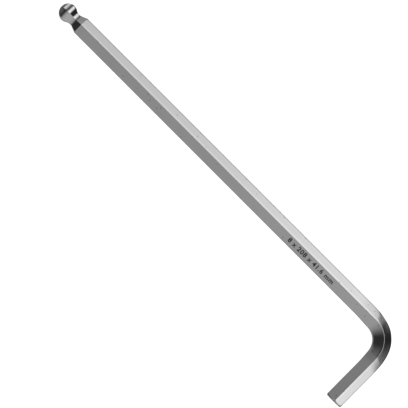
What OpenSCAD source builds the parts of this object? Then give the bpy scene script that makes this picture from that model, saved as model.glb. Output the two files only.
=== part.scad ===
// Hex key for 8 mm socket screws, extra long, with a ball end on the long arm.
// It lies flat: both arms stand on the lower edge of their hexagon, at z = 0.
// The long arm runs along X with its ball at -X, and the short arm points to -Y.
// The origin is under the middle of the key's outer box, on the surface it lies on.

/* [Bar] */
// Width across the flats of the hexagon
across_flats = 8; // [5:0.5:10]
// What the rounding takes off each edge of the sharp hexagon
edge_relief = 0.075; // [0.02:0.005:0.3]

/* [Arms] */
// Long arm, from the tip of the ball to the far side of the short arm
long_arm = 208; // [120:1:320]
// Short arm, from its end face to the far side of the long arm
short_arm = 41.6; // [32:0.1:80]
// Radius on the inner side of the bend
bend_inner_r = 8; // [3:0.5:14]
// How far the outer side is drawn in at the middle of the bend, where the steel stretches
bend_thinning = 0.45; // [0.1:0.05:1.5]

/* [Ball end] */
// How much narrower the ball is than the bar, across the flats
ball_clearance = 0.06; // [0.02:0.02:0.4]
// Middle of the ball to the shoulder, where the full hexagon starts
ball_to_shoulder = 7.9; // [7.6:0.1:10]
// Depth of the neck's flats below the bar's
neck_depth = 1.2; // [0.6:0.05:1.25]
// Radius of the round between the neck and the ball, and of that between the neck and the slope
neck_round = 3; // [0.5:0.1:3.6]
// Slope of the flats that rise from the neck to the shoulder
shoulder_angle = 21; // [19:1:35]

/* [Short end] */
// How far the turned chamfer cuts in from the flats at the end face
end_chamfer = 0.15; // [0.05:0.05:1]
// Angle between the chamfer and the length of the arm
chamfer_angle = 45; // [30:1:60]

/* [Smoothness] */
// Number of sides on round shapes
round_sides = 96; // [32:8:160]

/* [Hidden] */
$fn = round_sides;

// Cutting shapes reach this far past what they trim
past = 1;
// The neck's groove reaches this far into the ball and the slope, so that they cross it cleanly
groove_run_in = 0.005;
// The thinned side starts this far past the point where its curve touches the flat
thinned_run_in = 0.2;

half_flats = across_flats / 2;
sharp_edge_r = half_flats / cos(30);
edge_r = sharp_edge_r - edge_relief;
bend_mid_r = bend_inner_r + half_flats;
bend_outer_r = bend_mid_r + half_flats;

// Straight lengths, from the bend to the tip of the ball and to the end face
long_straight = long_arm - bend_outer_r;
short_straight = short_arm - bend_outer_r;

// Ball, neck and shoulder, as distances from the bend and from the bar's axis
ball_r = half_flats - ball_clearance / 2;
ball_x = long_straight - ball_r;
shoulder_x = ball_x - ball_to_shoulder;
neck_half = half_flats - neck_depth;

// Middles of the neck's two rounds. One touches the ball, so that the middles are the sum of the
// radii apart. The other lies in the corner between the slope and the neck's flat.
round_y = neck_half + neck_round;
middles_apart = ball_r + neck_round;
ball_round_x = ball_x - sqrt(middles_apart * middles_apart - round_y * round_y);
corner_x = shoulder_x + neck_depth / tan(shoulder_angle);
slope_round_x = corner_x + neck_round * tan(shoulder_angle / 2);

// Section of the bar: a hexagon that stands on an edge, with its edges rounded by drawing
module bar_section() {
    intersection() {
        rotate(90) circle(r = sharp_edge_r, $fn = 6);
        circle(r = edge_r);
    }
}

// Straight bar along +Z, from the bend
module straight_bar(length) {
    linear_extrude(height = length) bar_section();
}

// Half height of the shoulder's slope at a distance from the bend
function slope_y(x) = half_flats - (x - shoulder_x) * tan(shoulder_angle);

// Groove that leaves the neck's flat, with a round at either end
module neck_groove() {
    r = neck_round + groove_run_in;
    for (x = [slope_round_x, ball_round_x])
        translate([x, round_y]) circle(r = r);
    flat = max(ball_round_x - slope_round_x, groove_run_in);
    translate([slope_round_x, round_y - r]) square([flat, r]);
}

// Neck from the slope to the middle of the ball, with a groove on either side. Its corners lie
// on the lines through the places where the rounds touch the ball and the slope.
module neck_outline() {
    foot_x = slope_round_x - (neck_round + past) * sin(shoulder_angle);
    foot_y = round_y - (neck_round + past) * cos(shoulder_angle);
    difference() {
        polygon([
            [ball_x, 0], [ball_round_x, round_y], [slope_round_x, round_y], [foot_x, foot_y],
            [foot_x, -foot_y], [slope_round_x, -round_y], [ball_round_x, -round_y]
        ]);
        neck_groove();
        mirror([0, 1]) neck_groove();
    }
}

// Outline that the form cutter leaves on a pair of opposite flats, with the bar along +X.
// It is wider than the bar up to the shoulder, then gives the slope, the neck and the ball.
module ball_end_outline() {
    wide_x = shoulder_x - past;
    union() {
        polygon([
            [-past, -slope_y(wide_x)], [wide_x, -slope_y(wide_x)], [corner_x, -neck_half],
            [corner_x, neck_half], [wide_x, slope_y(wide_x)], [-past, slope_y(wide_x)]
        ]);
        neck_outline();
        translate([ball_x, 0]) circle(r = ball_r);
    }
}

// What the form cutter leaves after one pass across each of the three pairs of flats
module ball_end_passes() {
    reach = 2 * across_flats;
    intersection_for(turn = [0, 60, 120])
        rotate([turn, 0, 0])
            linear_extrude(height = reach, center = true) ball_end_outline();
}

// Long arm along +X from the bend, with the ball end cut into its flats
module long_arm_bar() {
    intersection() {
        rotate([90, 0, 90]) straight_bar(long_straight + past);
        ball_end_passes();
    }
}

// Short arm along +Z from the bend, with the turned chamfer round its end face
module short_arm_bar() {
    end_r = half_flats - end_chamfer;
    wide_r = edge_r + past;
    chamfer_length = (wide_r - end_r) / tan(chamfer_angle);
    intersection() {
        straight_bar(short_straight + past);
        rotate_extrude() polygon([
            [0, -past], [wide_r, -past], [wide_r, short_straight - chamfer_length],
            [end_r, short_straight], [0, short_straight]
        ]);
    }
}

// Quarter turn of bar that joins the arms
module bend() {
    rotate_extrude(angle = 90) translate([bend_mid_r, 0]) bar_section();
}

// Sliver that the outer side of the bend loses to a curve of larger radius, which runs out
// into the flats of both arms
module thinned_side() {
    thinned_r = bend_outer_r + bend_thinning / (sqrt(2) - 1);
    middle = bend_outer_r - thinned_r;
    start = middle + thinned_run_in;
    linear_extrude(height = 2 * (edge_r + past), center = true)
        difference() {
            translate([start, start]) square(bend_outer_r + past - start);
            translate([middle, middle]) circle(r = thinned_r);
        }
}

// The whole key, bent from one bar of plated steel
module hex_key() {
    color("silver")
        translate([long_arm / 2 - bend_outer_r, short_arm / 2 - bend_outer_r, edge_r])
            difference() {
                union() {
                    bend();
                    translate([0, bend_mid_r, 0]) mirror([1, 0, 0]) long_arm_bar();
                    translate([bend_mid_r, 0, 0]) rotate([90, 0, 0]) short_arm_bar();
                }
                thinned_side();
            }
}

hex_key();
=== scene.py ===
"""Hex key for 8 mm socket screws, extra long, with a ball end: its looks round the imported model."""
import math

import bmesh
import bpy
from mathutils import Matrix, Vector


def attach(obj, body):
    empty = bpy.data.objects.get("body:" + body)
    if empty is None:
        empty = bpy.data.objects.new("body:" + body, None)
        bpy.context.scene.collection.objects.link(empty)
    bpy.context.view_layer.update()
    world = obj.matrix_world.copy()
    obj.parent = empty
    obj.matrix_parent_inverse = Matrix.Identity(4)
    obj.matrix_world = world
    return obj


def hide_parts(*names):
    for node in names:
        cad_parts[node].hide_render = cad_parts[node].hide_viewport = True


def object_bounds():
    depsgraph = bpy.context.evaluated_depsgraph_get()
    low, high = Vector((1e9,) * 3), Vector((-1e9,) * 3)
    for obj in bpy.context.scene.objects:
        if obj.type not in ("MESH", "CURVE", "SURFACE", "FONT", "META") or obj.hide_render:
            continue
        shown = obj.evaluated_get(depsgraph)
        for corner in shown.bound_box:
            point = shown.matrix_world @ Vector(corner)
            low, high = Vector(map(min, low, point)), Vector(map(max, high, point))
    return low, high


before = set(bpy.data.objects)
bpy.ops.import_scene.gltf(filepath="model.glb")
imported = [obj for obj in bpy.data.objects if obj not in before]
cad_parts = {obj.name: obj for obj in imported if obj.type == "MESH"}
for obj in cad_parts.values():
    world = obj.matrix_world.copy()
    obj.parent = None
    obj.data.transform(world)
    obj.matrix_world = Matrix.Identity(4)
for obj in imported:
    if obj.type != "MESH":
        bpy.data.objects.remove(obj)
cad_low, cad_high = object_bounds()
scene = bpy.context.scene
mm = 0.001


# Camera
# The key is seen from almost straight above, from about a metre and a half away, with its long
# arm running from the upper left of the picture down to the bend at the lower right.
picture_px = 408
lens_px = 3500
camera_place = Vector((-12.59, -120.55, 1515.4)) * mm
aim_point = Vector((0.19, -0.14, 4.54)) * mm
picture_turn = math.radians(45.08)

camera_data = bpy.data.cameras.new("camera")
camera_data.sensor_width = 36
camera_data.lens = camera_data.sensor_width * lens_px / picture_px
camera_data.clip_start = 0.05
camera_data.clip_end = 50
camera = bpy.data.objects.new("camera", camera_data)
scene.collection.objects.link(camera)
scene.camera = camera

backward = (camera_place - aim_point).normalized()
picture_right = Vector((math.cos(picture_turn), math.sin(picture_turn), 0))
picture_right = (picture_right - picture_right.dot(backward) * backward).normalized()
picture_up = backward.cross(picture_right)
camera.matrix_world = Matrix.LocRotScale(
    camera_place, Matrix((picture_right, picture_up, backward)).transposed(), None
)


# The key's bar
# One length of hexagonal tool steel, drawn to size with slightly rounded edges. It lies on an
# edge, so that an edge of the hexagon faces up along both arms, and its middle is half_height up.
across_flats = 8.0
half_flats = across_flats / 2
half_height = (cad_high.z - cad_low.z) / mm / 2
low_x, low_y = cad_low.x / mm, cad_low.y / mm
high_x, high_y = cad_high.x / mm, cad_high.y / mm
long_axis_y = high_y - half_flats
short_axis_x = high_x - half_flats
corner_stretch = 1 / math.cos(math.radians(30))
least_cut = 0.012
crest_round = 0.08
round_steps = 3
flat_steps = 6


def bar_section(half):
    """Points (across, up, on_edge) round a hexagon that stands on an edge, given its half width.

    Its edges are worn to narrow crests with small rounds, just enough to stay inside the bar.
    """
    cut = max(least_cut, half * corner_stretch - half_height)
    crest_half = cut / math.tan(math.radians(30)) - crest_round * math.tan(math.radians(15))
    middle = half * corner_stretch - cut - crest_round
    corners = []
    for corner in range(6):
        toward = math.radians(90 + 60 * corner)
        arc = []
        for side in (-1, 1):
            for step in range(round_steps + 1):
                lean = math.radians(30 * (step / round_steps + (side - 1) / 2))
                outward = middle + crest_round * math.cos(lean)
                aside = side * crest_half + crest_round * math.sin(lean)
                across = outward * math.cos(toward) - aside * math.sin(toward)
                up = outward * math.sin(toward) + aside * math.cos(toward)
                arc.append((across, up, 1.0))
        corners.append(arc)
    points = []
    for arc, following in zip(corners, corners[1:] + corners[:1]):
        points += arc
        start, end = Vector(arc[-1]), Vector(following[0])
        for step in range(1, flat_steps):
            across, up, _ = start.lerp(end, step / flat_steps)
            points.append((across, up, 0.0))
    return points


# Ball end
# A form wheel cuts the same outline into each pair of flats: a round ball, a neck with a small
# round at either end, and a slope that rises to the shoulder, where the full bar starts.
ball_half = 3.97
ball_to_shoulder = 7.9
neck_depth = 1.2
neck_half = half_flats - neck_depth
neck_round = 3.0
shoulder_slope = math.radians(21)
shoulder_round = 0.2
first_ring_angle = -88.5
ball_x = low_x + ball_half
shoulder_x = ball_x + ball_to_shoulder


def arc_stations(middle_x, middle_y, radius, start, end, steps):
    """Stations (x, half width) on an arc, with its angles counted from straight up, in degrees."""
    stations = []
    for step in range(steps + 1):
        angle = math.radians(start + (end - start) * step / steps)
        stations.append((middle_x + radius * math.sin(angle), middle_y + radius * math.cos(angle)))
    return stations


def ball_end_stations():
    """Stations (x, half width) from the first ring behind the tip to the shoulder."""
    round_y = neck_half + neck_round
    middles_apart = ball_half + neck_round
    ball_round_x = ball_x + math.sqrt(middles_apart**2 - round_y**2)
    touch = math.degrees(math.asin((ball_round_x - ball_x) / middles_apart))
    corner_x = shoulder_x - neck_depth / math.tan(shoulder_slope)
    slope_round_x = corner_x - neck_round * math.tan(shoulder_slope / 2)
    slope = math.degrees(shoulder_slope)
    shoulder_reach = shoulder_round * math.tan(shoulder_slope / 2)
    shoulder_middle = (shoulder_x + shoulder_reach, half_flats - shoulder_round)
    stations = arc_stations(ball_x, 0, ball_half, first_ring_angle, touch, 84)
    stations += arc_stations(ball_round_x, round_y, neck_round, 180 + touch, 180, 20)[1:]
    stations += arc_stations(slope_round_x, round_y, neck_round, 180, 180 - slope, 14)
    stations += arc_stations(*shoulder_middle, shoulder_round, -slope, 0, 4)
    return stations


# Arms and bend
# The bar is bent cold through a right angle. The inner side keeps a tight radius and swells a
# little. The outer side, where the steel stretches, follows a larger radius that runs out into
# both arms and is drawn flatter on either side of the middle of the bend.
inner_bend_r = 8.0
inner_swelling = 0.4
outer_draw = 0.33
ridge_bend_r = 11.5
outer_bend_r = 17.09
# Where the swelling and the flatter places run out, in mm past the start of the bend or before
# its end, and how strong the second flatter place is beside the first
swelling_from_start = (-8.8, 2.2)
swelling_from_end = (-5.8, 1.5)
flatter_from_start = (-3.5, 10.5)
flatter_from_end = (-5, 12)
second_flatter = 0.9
bend_steps = 72
ring_pitch = 1.0
shoulder_gap = 0.3
bend_gap = 0.5
chamfer_gap = 0.2
end_chamfer = 0.15
end_band = 0.3
sharp_angle = math.radians(14)


def bend_radius(across):
    """Radius of the bend for a line of the bar that lies this far outside its middle."""
    side_r = outer_bend_r if across > 0 else inner_bend_r
    return ridge_bend_r + (side_r - ridge_bend_r) * abs(across) / half_flats


def ease(value, start, end):
    """Smooth rise from 0 at the start to 1 at the end."""
    share = min(max((value - start) / (end - start), 0), 1)
    return share * share * (3 - 2 * share)


def bump(value, start, end):
    """Smooth hump that is 0 at the start and the end and 1 halfway."""
    share = min(max((value - start) / (end - start), 0), 1)
    return math.sin(math.pi * share) ** 2


def bent_side(across, past_start, before_end):
    """How far a line of the bar is moved outwards by the bending, besides its plain curve.

    It depends on how far along that line a place lies past the start of the bend and before
    its end.
    """
    share = across / half_flats
    if share < 0:
        swelling = ease(past_start, *swelling_from_start) * ease(before_end, *swelling_from_end)
        return inner_swelling * share * swelling
    flatter = bump(past_start, *flatter_from_start)
    flatter += second_flatter * bump(before_end, *flatter_from_end)
    return -outer_draw * share * flatter


def bend_ring(section, turn):
    """Ring of the bend after a turn of 0 to 90 degrees from the long arm to the short one."""
    ring = []
    for across, up, _ in section:
        r = bend_radius(across)
        reach = r + bent_side(across, r * turn, r * (math.pi / 2 - turn))
        x = short_axis_x + across - r + reach * math.sin(turn)
        y = long_axis_y + across - r + reach * math.cos(turn)
        ring.append((x, y, half_height + up))
    return ring


def even_steps(start, end, pitch):
    """Places from start to end that are at most one pitch apart, both ends included."""
    count = max(1, math.ceil(abs(end - start) / pitch))
    return [start + (end - start) * step / count for step in range(count + 1)]


middle_bend_r = bend_radius(0)
bend_start = short_axis_x - middle_bend_r
bend_end = bend_start + middle_bend_r * math.pi / 2
short_end = bend_end + long_axis_y - middle_bend_r - low_y


def long_arm_ring(section, x):
    """Ring (points, unbent place, section) of the long arm."""
    ring = []
    for across, up, _ in section:
        r = bend_radius(across)
        past_start = x - (short_axis_x + across - r)
        side = across + bent_side(across, past_start, r * math.pi / 2 - past_start)
        ring.append((x, long_axis_y + side, half_height + up))
    return ring, x, section


def short_arm_ring(section, y):
    """Ring (points, unbent place, section) of the short arm."""
    ring = []
    for across, up, _ in section:
        r = bend_radius(across)
        before_end = y - (long_axis_y + across - r)
        side = across + bent_side(across, r * math.pi / 2 - before_end, before_end)
        ring.append((short_axis_x + side, y, half_height + up))
    return ring, short_end + low_y - y, section


def key_rings():
    """Rings (points, unbent place, section) along the key, from the ball to the short end."""
    rings = [long_arm_ring(bar_section(half), x) for x, half in ball_end_stations()]
    section = bar_section(half_flats)
    outer_start_x = high_x - outer_bend_r
    for x in even_steps(rings[-1][1] + shoulder_gap, outer_start_x - bend_gap, ring_pitch):
        rings.append(long_arm_ring(section, x))
    for turn in even_steps(0, math.pi / 2, math.pi / 2 / bend_steps):
        along = bend_start + middle_bend_r * turn
        rings.append((bend_ring(section, turn), along, section))
    outer_end_y = high_y - outer_bend_r
    end_r = half_flats - end_chamfer
    chamfer_y = low_y + half_height - end_r
    for y in even_steps(outer_end_y - bend_gap, chamfer_y + chamfer_gap, ring_pitch):
        rings.append(short_arm_ring(section, y))
    scallops = []
    face = []
    for across, up, _ in section:
        reach = math.hypot(across, up)
        scallops.append((short_axis_x + across, low_y + reach - end_r, half_height + up))
        shrink = end_r / reach
        face.append((short_axis_x + across * shrink, low_y, half_height + up * shrink))
    rings.append((scallops, short_end - end_band, section))
    rings.append((face, short_end, section))
    return rings


def loft_key():
    """The closed mesh of the whole key, with its unbent place and its edges as attributes."""
    rings = key_rings()
    around = len(rings[0][0])
    places, unbent, on_edge, faces = [], [], [], []
    tip = (low_x, long_axis_y, half_height)
    places.append(tip)
    unbent.append((low_x, 0, 0))
    on_edge.append(0.0)
    for points, along, section in rings:
        places += points
        unbent += [(along, across, up) for across, up, _ in section]
        on_edge += [edge for _, _, edge in section]
    places.append((short_axis_x, low_y, half_height))
    unbent.append((rings[-1][1], 0, 0))
    on_edge.append(0.0)
    for spot in range(around):
        following = (spot + 1) % around
        faces.append((0, 1 + following, 1 + spot))
        for ring in range(len(rings) - 1):
            near, far = 1 + ring * around, 1 + (ring + 1) * around
            faces.append((near + spot, near + following, far + following, far + spot))
        last = 1 + (len(rings) - 1) * around
        faces.append((last + spot, last + following, len(places) - 1))
    mesh = bpy.data.meshes.new("hex_key_steel")
    mesh.from_pydata([Vector(place) * mm for place in places], [], faces)
    straight = mesh.attributes.new("unbent_place", "FLOAT_VECTOR", "POINT")
    straight.data.foreach_set("vector", [value for place in unbent for value in place])
    edges = mesh.attributes.new("on_edge", "FLOAT", "POINT")
    edges.data.foreach_set("value", on_edge)
    mesh.validate()
    mesh.shade_smooth()
    mesh.set_sharp_from_angle(angle=sharp_angle)
    return mesh


key = bpy.data.objects.new("hex_key_body", loft_key())
scene.collection.objects.link(key)
weighted = key.modifiers.new("flat_faces_stay_flat", "WEIGHTED_NORMAL")
weighted.keep_sharp = True
weighted.weight = 80
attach(key, "root")
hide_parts("hex_key")


# Plated steel
# A thin satin nickel and chrome plating over drawn steel: faint lines along the bar, soft cloudy
# changes of tone, a few pin pricks, rubbed edges, and a brighter, smoother finish on the ball end.
# The tone also carries painted light: the bar grows lighter towards the bend, a painted highlight and
# painted shade run beside the ridge and near the outer side edge, and painted shade darkens the ridge
# from the bend to the short end.
# Tone of the bar at the ball end and where the bend starts. The rise between them is painted light,
# brighter towards the bend.
bar_tones_and_painted_light = (0.61, 0.69)
painted_light_rise_start = -30
ball_tone = 0.74
ball_blend_half = 0.15
line_stretch = (0.035, 2.6, 2.6)
line_tones = (0.955, 1.045)
cloud_scale = 0.11
cloud_tones = (0.94, 1.06)
edge_rub = 0.06
# Painted highlight and painted shade across the section: mm outwards from the ridge, and share
painted_section_light_table = (
    (-0.7, 1.0), (-0.25, 0.9), (-0.1, 0.93), (0.12, 1.09),
    (0.6, 1.08), (1.3, 1.0), (3.35, 1.0), (3.7, 0.72),
)
prick_scale = 0.3
prick_reach = (0.14, 0.07)
prick_dulling = 0.3
# Painted shade on the ridge past the bend: how far across the ridge it reaches in mm, how much darker
# it makes the ridge, and where along the bar it comes in.
ridge_shade_reach = (0.32, 0.08)
ridge_painted_shade = 0.45
ridge_shade_comes_in_over = (bend_start - 3, bend_start + 10)
strain_middle = bend_start - 4.5
strain_reach = 8
strain_outward = (0.2, 1)
strain_dulling = 0.13
bar_roughness = (0.09, 0.14)
bend_reach = (14, 6)
bend_roughness = 0.05
ball_roughness = 0.07
end_roughness = 0.35
end_face_blend = 0.1
line_depth = 0.004
line_strength = 0.25


def add_node(tree, kind, **settings):
    """A node of that kind, with its settings."""
    node = tree.nodes.new(kind)
    for name, value in settings.items():
        setattr(node, name, value)
    return node


def feed(tree, socket, value):
    """Give a socket a plain value, or link it to another node's output."""
    if isinstance(value, bpy.types.NodeSocket):
        tree.links.new(value, socket)
    else:
        socket.default_value = value


def compute(tree, operation, *values):
    """Output of a Math node on those values."""
    node = add_node(tree, "ShaderNodeMath", operation=operation)
    for socket, value in zip(node.inputs, values):
        feed(tree, socket, value)
    return node.outputs[0]


def map_value(tree, value, start, end, low=0, high=1, curve="SMOOTHSTEP"):
    """A value that goes from low at the start to high at the end, and stays there beyond them."""
    node = add_node(tree, "ShaderNodeMapRange", interpolation_type=curve)
    names = ("Value", "From Min", "From Max", "To Min", "To Max")
    for name, given in zip(names, (value, start, end, low, high)):
        feed(tree, node.inputs[name], given)
    return node.outputs["Result"]


def mix(tree, share, first, second):
    """The first value where the share is 0, and the second where it is 1."""
    node = add_node(tree, "ShaderNodeMix", data_type="FLOAT")
    for name, given in (("Factor", share), ("A", first), ("B", second)):
        feed(tree, node.inputs[name], given)
    return node.outputs["Result"]


def noise(tree, place, scale, detail):
    """Soft noise from 0 to 1 at that place."""
    node = add_node(tree, "ShaderNodeTexNoise")
    tree.links.new(place, node.inputs["Vector"])
    node.inputs["Scale"].default_value = scale
    node.inputs["Detail"].default_value = detail
    return node.outputs["Fac"]


def painted_section_light(tree, outward):
    """Painted highlight and painted shade across the bar. A ramp's colours end at 1, so they are
    halved there and doubled here.
    """
    ramp = add_node(tree, "ShaderNodeValToRGB")
    elements = ramp.color_ramp.elements
    for index, (place, share) in enumerate(painted_section_light_table):
        position = (place + half_height) / (2 * half_height)
        element = elements[index] if index < 2 else elements.new(position)
        element.position = position
        element.color = (share / 2, share / 2, share / 2, 1)
    across = map_value(tree, outward, -half_height, half_height, curve="LINEAR")
    tree.links.new(across, ramp.inputs["Fac"])
    return compute(tree, "MULTIPLY", ramp.outputs["Color"], 2)


def left_by_pricks(tree, place):
    """Share of the tone that the pin pricks leave."""
    cells = add_node(tree, "ShaderNodeTexVoronoi")
    cells.inputs["Scale"].default_value = prick_scale
    tree.links.new(place, cells.inputs["Vector"])
    dulling = map_value(tree, cells.outputs["Distance"], *prick_reach, 0, prick_dulling)
    return compute(tree, "SUBTRACT", 1, dulling)


def left_by_painted_ridge_shade(tree, along, outward):
    """Share of the tone left on the ridge, which painted shade darkens from the bend to the short
    end.
    """
    ridge = map_value(tree, compute(tree, "ABSOLUTE", outward), *ridge_shade_reach, 0, ridge_painted_shade)
    past_bend = map_value(tree, along, *ridge_shade_comes_in_over)
    return compute(tree, "SUBTRACT", 1, compute(tree, "MULTIPLY", ridge, past_bend))


def left_by_strain(tree, along, outward):
    """Share of the tone left on the outer flats, which are duller where they run into the bend."""
    aside = compute(tree, "ABSOLUTE", compute(tree, "SUBTRACT", along, strain_middle))
    strain = map_value(tree, aside, strain_reach, 0, 0, strain_dulling)
    outer = map_value(tree, outward, *strain_outward)
    return compute(tree, "SUBTRACT", 1, compute(tree, "MULTIPLY", strain, outer))


def steel_roughness(tree, along, clouds, ball_end):
    """Roughness of the bar, with a duller bend, a smooth ball end and a ground end face."""
    bend_middle = (bend_start + bend_end) / 2
    aside = compute(tree, "ABSOLUTE", compute(tree, "SUBTRACT", along, bend_middle))
    bent = map_value(tree, aside, *bend_reach, 0, bend_roughness)
    bar = compute(tree, "ADD", map_value(tree, clouds, 0, 1, *bar_roughness, "LINEAR"), bent)
    face_start = short_end - end_band
    end_face = map_value(tree, along, face_start, face_start + end_face_blend)
    return mix(tree, end_face, mix(tree, ball_end, bar, ball_roughness), end_roughness)


def plated_steel():
    """The key's finish, with painted light and shade in its tone."""
    material = bpy.data.materials.new("plated_steel")
    material.use_nodes = True
    tree = material.node_tree
    shader = tree.nodes["Principled BSDF"]
    shader.inputs["Metallic"].default_value = 1.0

    place = add_node(tree, "ShaderNodeAttribute", attribute_name="unbent_place").outputs["Vector"]
    on_edge = add_node(tree, "ShaderNodeAttribute", attribute_name="on_edge").outputs["Fac"]
    parts = add_node(tree, "ShaderNodeSeparateXYZ")
    tree.links.new(place, parts.inputs[0])
    along, outward = parts.outputs["X"], parts.outputs["Y"]
    ball_end = map_value(
        tree, along, shoulder_x + ball_blend_half, shoulder_x - ball_blend_half
    )
    stretched = add_node(tree, "ShaderNodeVectorMath", operation="MULTIPLY")
    stretched.inputs[1].default_value = line_stretch
    tree.links.new(place, stretched.inputs[0])
    lines = noise(tree, stretched.outputs[0], 1, 3)
    clouds = noise(tree, place, cloud_scale, 4)

    line_tone = map_value(tree, lines, 0, 1, *line_tones, "LINEAR")
    cloud_tone = map_value(tree, clouds, 0, 1, *cloud_tones, "LINEAR")
    rubbed = compute(
        tree, "MULTIPLY_ADD", on_edge, edge_rub, compute(tree, "MULTIPLY", line_tone, cloud_tone)
    )
    # Painted light: the bar's tone rises towards the bend.
    bar_tone_and_painted_light = map_value(tree, along, painted_light_rise_start, short_axis_x - outer_bend_r, *bar_tones_and_painted_light)
    tone = mix(tree, ball_end, bar_tone_and_painted_light, ball_tone)
    for share in (
        rubbed,
        painted_section_light(tree, outward),
        left_by_pricks(tree, place),
        left_by_painted_ridge_shade(tree, along, outward),
        left_by_strain(tree, along, outward),
    ):
        tone = compute(tree, "MULTIPLY", tone, share)
    tree.links.new(tone, shader.inputs["Base Color"])
    tree.links.new(steel_roughness(tree, along, clouds, ball_end), shader.inputs["Roughness"])

    relief = add_node(tree, "ShaderNodeBump")
    relief.inputs["Strength"].default_value = line_strength
    relief.inputs["Distance"].default_value = line_depth * mm
    tree.links.new(lines, relief.inputs["Height"])
    tree.links.new(relief.outputs["Normal"], shader.inputs["Normal"])
    return material


key.data.materials.append(plated_steel())


# Size mark
# The key's size in millimetres, printed in thin dark figures on the flat of the long arm that faces
# inwards and up, with their tops towards the ridge.
mark_middle_x = 50.3
figure_size = 3.15
figure_boldness = 0.08
figure_spacing = 1.12
ink_half = 0.01
ink_tones = (0.006, 0.03)
ink_roughness = 0.55
ink_grain = 900


def size_mark():
    """The closed mesh of the figures, in their own plane, in metres."""
    curve = bpy.data.curves.new("size_mark", "FONT")
    curve.body = "8 x 208 x 41.6 mm"
    curve.size = figure_size * mm
    curve.extrude = ink_half * mm
    curve.offset = figure_boldness * mm
    curve.space_character = figure_spacing
    curve.resolution_u = 4
    curve.align_x = "CENTER"
    curve.align_y = "CENTER"
    written = bpy.data.objects.new("size_mark_figures", curve)
    scene.collection.objects.link(written)
    depsgraph = bpy.context.evaluated_depsgraph_get()
    mesh = bpy.data.meshes.new_from_object(written.evaluated_get(depsgraph))
    bpy.data.objects.remove(written)
    welded = bmesh.new()
    welded.from_mesh(mesh)
    bmesh.ops.remove_doubles(welded, verts=welded.verts, dist=0.001 * mm)
    welded.to_mesh(mesh)
    welded.free()
    return mesh


def printed_ink():
    """Dark matt ink, a little uneven."""
    material = bpy.data.materials.new("printed_ink")
    material.use_nodes = True
    tree = material.node_tree
    shader = tree.nodes["Principled BSDF"]
    shader.inputs["Roughness"].default_value = ink_roughness
    place = add_node(tree, "ShaderNodeTexCoord").outputs["Object"]
    uneven = noise(tree, place, ink_grain, 2)
    tree.links.new(map_value(tree, uneven, 0, 1, *ink_tones, "LINEAR"), shader.inputs["Base Color"])
    return material


mark = bpy.data.objects.new("size_mark", size_mark())
scene.collection.objects.link(mark)
mark.data.materials.clear()
mark.data.materials.append(printed_ink())
toward_ridge = Vector((0, math.cos(math.radians(30)), math.sin(math.radians(30))))
off_flat = Vector((0, -toward_ridge.z, toward_ridge.y))
flat_middle = Vector((mark_middle_x, long_axis_y, half_height)) + half_flats * off_flat
mark.matrix_world = Matrix.LocRotScale(
    flat_middle * mm, Matrix((Vector((1, 0, 0)), toward_ridge, off_flat)).transposed(), None
)
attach(mark, "root")


# Floor
# A plain white table that the key lies on. It glows evenly, as a light table does, so that the key
# hardly casts a shadow on it.
def white_table():
    """The floor's material."""
    material = bpy.data.materials.new("white_table")
    material.use_nodes = True
    shader = material.node_tree.nodes["Principled BSDF"]
    shader.inputs["Base Color"].default_value = (0.5, 0.5, 0.5, 1)
    shader.inputs["Roughness"].default_value = 1.0
    shader.inputs["Specular IOR Level"].default_value = 0.0
    shader.inputs["Emission Color"].default_value = (1, 1, 1, 1)
    shader.inputs["Emission Strength"].default_value = 1.0
    return material


table_half = 4.0
floor_mesh = bpy.data.meshes.new("floor")
floor_mesh.from_pydata(
    [(x * table_half, y * table_half, 0) for x, y in ((-1, -1), (1, -1), (1, 1), (-1, 1))],
    [],
    [(0, 1, 2, 3)],
)
floor = bpy.data.objects.new("floor", floor_mesh)
scene.collection.objects.link(floor)
floor_mesh.materials.append(white_table())
floor.visible_glossy = False


# Studio light
# Large soft panels round and over the key, with dark gaps between them that the steel mirrors.
# Azimuths run clockwise seen from above, from 0 along +Y to 90 along +X.
room_light = 0.022
all_round = (-200, 200)


def soft_step(tree, value, middle, edge):
    """Smooth rise from 0 to 1 about the middle, as wide to either side as the edge says."""
    start = compute(tree, "SUBTRACT", middle, edge)
    end = compute(tree, "ADD", middle, edge)
    return map_value(tree, value, start, end)


def panel_group():
    """Light of one soft panel as seen in a direction, all angles in degrees."""
    group = bpy.data.node_groups.new("soft_panel", "ShaderNodeTree")
    sockets = (
        "Azimuth", "Height", "Middle", "Half Width", "Left Edge", "Right Edge",
        "Low", "High", "Low Edge", "High Edge", "Light",
    )
    for name in sockets:
        group.interface.new_socket(name, in_out="INPUT", socket_type="NodeSocketFloat")
    group.interface.new_socket("Light", in_out="OUTPUT", socket_type="NodeSocketFloat")
    given = add_node(group, "NodeGroupInput").outputs
    result = add_node(group, "NodeGroupOutput")

    aside = compute(group, "SUBTRACT", given["Azimuth"], given["Middle"])
    aside = compute(group, "WRAP", aside, 180, -180)
    end = compute(group, "MULTIPLY", given["Half Width"], -1)
    left = soft_step(group, aside, end, given["Left Edge"])
    right = soft_step(group, compute(group, "MULTIPLY", aside, -1), end, given["Right Edge"])
    above = soft_step(group, given["Height"], given["Low"], given["Low Edge"])
    past_top = soft_step(group, given["Height"], given["High"], given["High Edge"])
    light = compute(group, "SUBTRACT", 1, past_top)
    for share in (left, right, above, given["Light"]):
        light = compute(group, "MULTIPLY", light, share)
    group.links.new(light, result.inputs["Light"])
    return group


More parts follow.
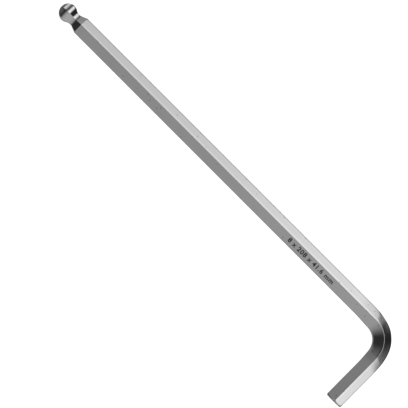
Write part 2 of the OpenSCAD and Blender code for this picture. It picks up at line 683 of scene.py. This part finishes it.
def studio_light():
    """The world: soft panels for what the key mirrors, and plain white for the camera."""
    world = bpy.data.worlds.new("studio")
    scene.world = world
    world.use_nodes = True
    tree = world.node_tree
    tree.nodes.clear()
    parts = add_node(tree, "ShaderNodeSeparateXYZ")
    direction = add_node(tree, "ShaderNodeTexCoord").outputs["Generated"]
    tree.links.new(direction, parts.inputs[0])
    turn = compute(tree, "ARCTAN2", parts.outputs["X"], parts.outputs["Y"])
    azimuth = compute(tree, "DEGREES", turn)
    height = compute(tree, "DEGREES", compute(tree, "ARCSINE", parts.outputs["Z"]))

    soft_panel = panel_group()
    # Azimuths of the sides, their soft edges, heights, their soft edges, and light. All rows but
    # table_right and floor_below are rounded from a least-squares fit to the photograph's greys.
    panels = {
        "back": ((-10, 26), (15, 18), (20, 70), (5, 25), 1.08),
        "back_low": ((-7, 17), (15, 3), (-10, 7), (15, 15), 1.6),
        "right": ((83, 110), (2, 20), (24, 30), (8, 15), 2.5),
        "right_glow": ((65, 125), (25, 20), (14, 20), (3, 15), 0.4),
        "front": ((140, 200), (25, 25), (-45, 90), (20, 10), 0.43),
        "front_middle": ((95, 185), (35, 30), (-25, 40), (15, 8), 0.48),
        "left": ((248, 330), (15, 35), (-15, 40), (5, 5), 0.28),
        "gap_left": ((180, 280), (2, 15), (-90, 60), (5, 10), 0.03),
        "overhead": ((-50, 140), (10, 35), (50, 200), (7, 1), 0.8),
        "table_far": ((290, 360), (25, 20), (-20, 10), (20, 12), 0.8),
        "table_left": ((220, 245), (5, 5), (-90, 17), (5, 2), 0.09),
        "table_right": ((70, 120), (15, 15), (-50, 5), (8, 10), 0.6),
        "table_under": (all_round, (5, 5), (-90, -15), (5, 5), 0.12),
        "floor_below": (all_round, (5, 5), (-100, -60), (5, 8), 0.25),
    }
    light_there = room_light
    for label, (sides, side_edges, heights, height_edges, light) in panels.items():
        panel = add_node(tree, "ShaderNodeGroup", node_tree=soft_panel, label=label)
        values = {
            "Azimuth": azimuth,
            "Height": height,
            "Middle": (sides[0] + sides[1]) / 2,
            "Half Width": (sides[1] - sides[0]) / 2,
            "Left Edge": side_edges[0],
            "Right Edge": side_edges[1],
            "Low": heights[0],
            "High": heights[1],
            "Low Edge": height_edges[0],
            "High Edge": height_edges[1],
            "Light": light,
        }
        for name, value in values.items():
            feed(tree, panel.inputs[name], value)
        light_there = compute(tree, "MAXIMUM", light_there, panel.outputs["Light"])

    seen = add_node(tree, "ShaderNodeLightPath").outputs["Is Camera Ray"]
    sky = add_node(tree, "ShaderNodeBackground")
    sky.inputs["Color"].default_value = (1, 1, 1, 1)
    tree.links.new(mix(tree, seen, light_there, 1), sky.inputs["Strength"])
    output = add_node(tree, "ShaderNodeOutputWorld")
    tree.links.new(sky.outputs[0], output.inputs["Surface"])


studio_light()
scene.view_settings.view_transform = "Standard"
scene.view_settings.look = "None"
